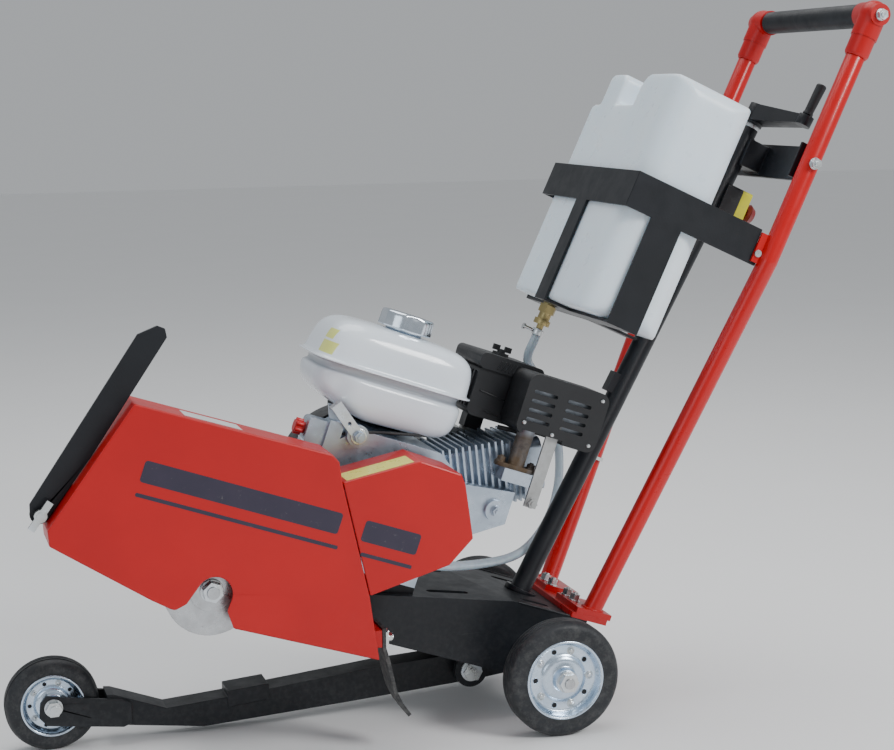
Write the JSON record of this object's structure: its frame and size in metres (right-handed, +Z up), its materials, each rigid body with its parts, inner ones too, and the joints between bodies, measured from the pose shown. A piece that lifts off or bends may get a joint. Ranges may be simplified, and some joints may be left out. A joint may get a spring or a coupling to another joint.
{
  "type": "walk-behind concrete saw",
  "caption": "Walk-behind petrol saw for cutting concrete floors: blade guard at the side, tilting base on wheels, handle frame with water tank and depth crank.",
  "frame": {"origin": "middle of the footprint box on the ground, with all three wheels resting on the floor", "axes": "-X towards the guide wheel at the front, +X towards the handle, -Y the side with the blade guard, +Z up"},
  "size_m": [1.2115, 0.43, 0.9828],
  "materials": {
    "belt_rubber": "black V-belt",
    "brass": "dull brass",
    "cap_plastic": "white plastic",
    "carb_metal": "cast zinc alloy",
    "cast_grey": "grey cast iron",
    "crank_black": "black satin paint",
    "engine_alu": "die-cast aluminium",
    "engine_black": "black plastic",
    "estop_red": "red plastic",
    "estop_yellow": "yellow plastic",
    "flap_rubber": "matt black rubber",
    "frame_black": "black powder coat, slightly dusty",
    "fuel_cap": "bright plated steel",
    "fuel_white": "white gloss paint",
    "guard_black": "heat-proof black paint",
    "guard_red": "red gloss paint",
    "handle_red": "red gloss paint",
    "hose_plastic": "clear flexible PVC hose",
    "muffler_steel": "heat-stained steel",
    "rim_zinc": "blue zinc plate",
    "sleeve_rubber": "matt black grip sleeve",
    "steel": "machined steel",
    "switch_red": "red plastic",
    "tank_plastic": "translucent white polyethylene",
    "tyre": "solid black rubber",
    "zinc": "bright zinc plate"
  },
  "bodies": {
    "chassis": {"base_frame": "frame_black", "engine_rails": "frame_black", "frame_bolts": "zinc", "blade_guard": "guard_red", "belt_cover": "guard_red", "rubber_flap": "flap_rubber", "rear_bracket": "handle_red", "handle_leg_left": "handle_red", "handle_leg_right": "handle_red", "handle_elbows": "guard_red", "grip_tube": "steel", "grip_sleeve": "sleeve_rubber", "crank_bracket": "crank_black", "spindle_tube": "crank_black", "tank_cradle": "frame_black", "water_tank": "tank_plastic", "drain_fitting": "brass", "hose_clips": "zinc", "water_hose": "hose_plastic", "estop_box": "estop_yellow", "rear_axle": "steel", "axle_nuts": "zinc", "arm_pivot_bolt": "zinc", "pointer_wing_nut": "zinc", "crankcase": "engine_alu", "cylinder_head": "engine_alu", "drive_belts": "belt_rubber", "arbor_bearings": "cast_grey", "fuel_tank": "fuel_white", "air_cleaner": "engine_black", "carburettor": "carb_metal", "muffler": "muffler_steel", "muffler_guard": "guard_black", "fan_housing": "engine_black", "recoil_starter": "engine_black"},
    "guide_arm": {"front_arm": "frame_black", "front_axle": "zinc"},
    "front_wheel": {"front_tyre": "tyre", "front_rim": "rim_zinc"},
    "rear_wheel_left": {"rear_tyre_left": "tyre", "rear_rim_left": "rim_zinc"},
    "rear_wheel_right": {"rear_tyre_right": "tyre", "rear_rim_right": "rim_zinc"},
    "depth_rod": {"push_rod": "steel"},
    "depth_crank": {"spindle_screw": "steel", "crank_arm": "crank_black"},
    "crank_grip": {"crank_knob": "engine_black"},
    "blade_arbor": {"arbor_shaft": "steel", "arbor_pulley": "cast_grey", "blade_flanges": "steel", "arbor_nut": "zinc"},
    "engine_shaft": {"crankshaft": "steel", "engine_pulley": "cast_grey"},
    "cut_pointer": {"pointer_bar": "frame_black"},
    "stop_button": {"estop_button": "estop_red"},
    "water_cap": {"tank_cap": "cap_plastic"},
    "petrol_cap": {"fuel_cap": "fuel_cap"},
    "throttle": {"throttle_lever": "zinc"},
    "switch_knob": {"ignition_switch": "switch_red"},
    "starter_handle": {"starter_grip": "engine_black"}
  },
  "joints": [
    {"name": "guide_arm_pivot", "type": "hinge", "parent": "chassis", "child": "guide_arm", "pos_m": [0.0367, 0, 0.056], "axis": [0, 1, 0], "range_deg": [0, 22]},
    {"name": "front_wheel_spin", "type": "hinge", "parent": "guide_arm", "child": "front_wheel", "pos_m": [-0.5433, 0, 0.0625], "axis": [0, 1, 0], "continuous": true},
    {"name": "rear_wheel_left_spin", "type": "hinge", "parent": "chassis", "child": "rear_wheel_left", "pos_m": [0.1197, -0.178, 0.08], "axis": [0, 1, 0], "continuous": true},
    {"name": "rear_wheel_right_spin", "type": "hinge", "parent": "chassis", "child": "rear_wheel_right", "pos_m": [0.1197, 0.178, 0.08], "axis": [0, 1, 0], "continuous": true},
    {"name": "depth_rod_slide", "type": "slide", "parent": "chassis", "child": "depth_rod", "axis": [-0.4802, 0, -0.8771], "range_m": [0, 0.0205]},
    {"name": "depth_crank_turn", "type": "hinge", "parent": "chassis", "child": "depth_crank", "pos_m": [0.48767, 0, 0.81663], "axis": [0.4802, 0, 0.8771], "range_deg": [0, 1810]},
    {"name": "crank_grip_spin", "type": "hinge", "parent": "depth_crank", "child": "crank_grip", "pos_m": [0.52577, -0.10583, 0.84138], "axis": [0.4802, 0, 0.8771], "continuous": true},
    {"name": "arbor_spin", "type": "hinge", "parent": "chassis", "child": "blade_arbor", "pos_m": [-0.35323, -0.15, 0.24535], "axis": [0, 1, 0], "continuous": true},
    {"name": "engine_spin", "type": "hinge", "parent": "chassis", "child": "engine_shaft", "pos_m": [-0.10159, -0.1, 0.32386], "axis": [0, 1, 0], "continuous": true},
    {"name": "pointer_fold", "type": "hinge", "parent": "chassis", "child": "cut_pointer", "pos_m": [-0.56112, -0.165, 0.35928], "axis": [0, -1, 0], "range_deg": [0, 120]},
    {"name": "stop_press", "type": "slide", "parent": "chassis", "child": "stop_button", "axis": [-0.9063, 0, 0.4226], "range_m": [0, 0.004], "stiffness_N_per_m": 2500},
    {"name": "water_cap_turn", "type": "hinge", "parent": "chassis", "child": "water_cap", "pos_m": [0.35815, 0.006, 0.84384], "axis": [0.4226, 0, 0.9063], "range_deg": [0, 360]},
    {"name": "petrol_cap_turn", "type": "hinge", "parent": "chassis", "child": "petrol_cap", "pos_m": [-0.04328, -0.014, 0.55144], "axis": [0.3338, 0, 0.9426], "range_deg": [0, 90]},
    {"name": "throttle_turn", "type": "hinge", "parent": "chassis", "child": "throttle", "pos_m": [-0.13533, -0.095, 0.41431], "axis": [0, -1, 0], "range_deg": [-8, 12]},
    {"name": "switch_turn", "type": "hinge", "parent": "chassis", "child": "switch_knob", "pos_m": [-0.20815, -0.061, 0.42736], "axis": [-0.9426, 0, 0.3338], "range_deg": [0, 90]},
    {"name": "starter_pull", "type": "slide", "parent": "chassis", "child": "starter_handle", "axis": [-0.0087, 0, 1], "range_m": [0, 0.5], "stiffness_N_per_m": 20, "springref_m": -0.2}
  ],
  "couplings": [
    {"joint": "depth_rod_slide", "follows": "guide_arm_pivot", "m_per_rad": 0.052348},
    {"joint": "depth_crank_turn", "follows": "guide_arm_pivot", "ratio": 81.818},
    {"joint": "engine_spin", "follows": "arbor_spin", "ratio": 0.9}
  ]
}
